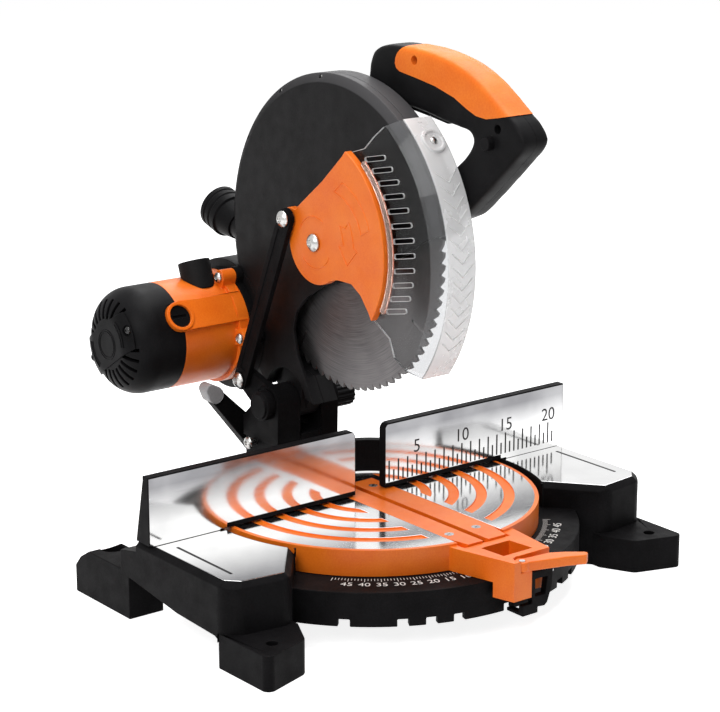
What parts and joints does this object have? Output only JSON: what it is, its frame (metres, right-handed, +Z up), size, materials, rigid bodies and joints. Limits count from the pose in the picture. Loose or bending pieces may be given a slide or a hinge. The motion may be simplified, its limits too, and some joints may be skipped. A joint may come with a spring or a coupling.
{
  "type": "mitre saw",
  "caption": "Mitre saw with a turning table, tilting bracket and hinged head; a link swings its clear blade guard aside as the belt-driven blade is lowered.",
  "frame": {"origin": "On the bench plane, at the middle of the rectangle of the four bench bolts; the table's turning axis stands 20.7 mm behind it.", "axes": "+X to the operator's right, +Y to the rear, away from the operator, +Z up; the blade's plane is x = 0 and the fence's face is y = 20.7 mm."},
  "size_m": [0.436, 0.4635, 0.4438],
  "materials": {
    "black_paint": "textured black paint over cast aluminium",
    "black_steel": "satin black paint",
    "machined_fence": "machined",
    "steel": "satin",
    "orange_paint": "satin orange paint over cast aluminium",
    "orange_plastic": "fine grain",
    "pointer_red": "satin",
    "black_plastic": "fine grain",
    "grey_plastic": "satin",
    "belt_rubber": "matte",
    "carbon": "matte",
    "stator_iron": "matte",
    "gland_rubber": "matte",
    "blade_steel": "circular brushed",
    "pulley_alloy": "turned",
    "clear": "clear moulded"
  },
  "bodies": {
    "base": {"base_casting": "black_paint", "fence": "machined_fence", "fence_bolts": "steel", "centre_bolt": "steel"},
    "table": {"turntable": "orange_paint", "insert_left": "orange_plastic", "insert_right": "orange_plastic", "insert_screws": "steel", "mitre_pointer": "pointer_red", "lever_pin": "steel", "latch_pin": "steel", "bevel_bolt": "steel"},
    "mitre_lever": {"mitre_lock_lever": "orange_plastic"},
    "latch": {"detent_latch": "black_steel"},
    "bracket": {"tilt_bracket": "black_paint", "hinge_shaft": "steel", "hinge_cap": "black_plastic", "bevel_stop_screws": "steel", "link_lower_bolt": "steel"},
    "bevel_lever": {"bevel_lock_lever": "black_plastic", "bevel_lever_tip": "grey_plastic"},
    "hold_down": {"hold_down_pin": "steel", "hold_down_knob": "black_plastic"},
    "head": {"arm_casting": "black_paint", "guard_cover": "black_paint", "case_screws": "steel", "guard_pivot_bolt": "steel", "belt_cover": "black_plastic", "drive_belt": "belt_rubber", "motor_adapter": "black_paint", "motor_housing": "orange_plastic", "motor_end_cap": "black_plastic", "motor_screws": "steel", "brush_caps": "black_plastic", "carbon_brushes": "carbon", "stator": "stator_iron", "bearings": "steel", "cord_gland": "gland_rubber", "dust_port": "black_plastic", "handle_left": "black_plastic", "handle_right": "black_plastic", "grip_cover": "orange_plastic", "switch_body": "black_plastic", "return_spring": "steel"},
    "trigger": {"trigger": "black_plastic"},
    "lock_button": {"lock_off_button": "black_plastic"},
    "blade_spindle": {"spindle": "steel", "inner_flange": "steel", "outer_flange": "steel", "blade": "blade_steel", "blade_bolt": "steel", "driven_pulley": "pulley_alloy"},
    "rotor": {"armature": "stator_iron", "cooling_fan": "black_plastic", "drive_pulley": "pulley_alloy"},
    "lower_guard": {"guard_side_plate": "orange_plastic", "clear_guard": "clear", "guard_screws": "steel", "link_upper_bolt": "steel"},
    "link": {"guard_link": "black_steel"}
  },
  "joints": [
    {"name": "mitre", "type": "hinge", "parent": "base", "child": "table", "pos_m": [0, 0.0207, 0.07], "axis": [0, 0, -1], "range_deg": [-45, 45]},
    {"name": "bevel", "type": "hinge", "parent": "table", "child": "bracket", "pos_m": [0, 0.1067, 0.07], "axis": [0, -1, 0], "range_deg": [0, 45]},
    {"name": "chop", "type": "hinge", "parent": "bracket", "child": "head", "pos_m": [0, 0.1217, 0.129], "axis": [-1, 0, 0], "range_deg": [-50, 0], "stiffness_Nm_per_rad": 8, "springref_deg": 34.38},
    {"name": "guard_swing", "type": "hinge", "parent": "head", "child": "lower_guard", "pos_m": [0, 0.0551, 0.281], "axis": [-1, 0, 0], "range_deg": [-1, 51]},
    {"name": "link_swing", "type": "hinge", "parent": "bracket", "child": "link", "pos_m": [0, 0.1547, 0.1443], "axis": [-1, 0, 0], "range_deg": [-51, 1]},
    {"name": "blade_spin", "type": "hinge", "parent": "head", "child": "blade_spindle", "pos_m": [0, 0.0551, 0.281], "axis": [1, 0, 0], "continuous": true},
    {"name": "motor_spin", "type": "hinge", "parent": "head", "child": "rotor", "pos_m": [0, 0.2107, 0.18], "axis": [1, 0, 0], "continuous": true},
    {"name": "trigger_pull", "type": "hinge", "parent": "head", "child": "trigger", "pos_m": [0.028, 0.0087, 0.4], "axis": [-1, 0, 0], "range_deg": [0, 6], "stiffness_Nm_per_rad": 1, "springref_deg": -11.46},
    {"name": "lock_off_press", "type": "slide", "parent": "head", "child": "lock_button", "axis": [1, 0, 0], "range_m": [0, 0.004], "stiffness_N_per_m": 150, "springref_m": -0.003},
    {"name": "mitre_lock", "type": "hinge", "parent": "table", "child": "mitre_lever", "pos_m": [-0.003, -0.1708, 0.06], "axis": [0, 0, -1], "range_deg": [0, 25]},
    {"name": "detent", "type": "hinge", "parent": "table", "child": "latch", "pos_m": [0.016, -0.1696, 0.0515], "axis": [1, 0, 0], "range_deg": [0, 7]},
    {"name": "bevel_lock", "type": "hinge", "parent": "bracket", "child": "bevel_lever", "pos_m": [0, 0.1687, 0.07], "axis": [0, -1, 0], "range_deg": [0, 35]},
    {"name": "hold_down_slide", "type": "slide", "parent": "bracket", "child": "hold_down", "axis": [1, 0, 0], "range_m": [-0.01, 0]}
  ],
  "couplings": [
    {"joint": "guard_swing", "follows": "chop", "ratio": -1},
    {"joint": "link_swing", "follows": "chop", "ratio": 1},
    {"joint": "motor_spin", "follows": "blade_spin", "ratio": 1.5625}
  ]
}
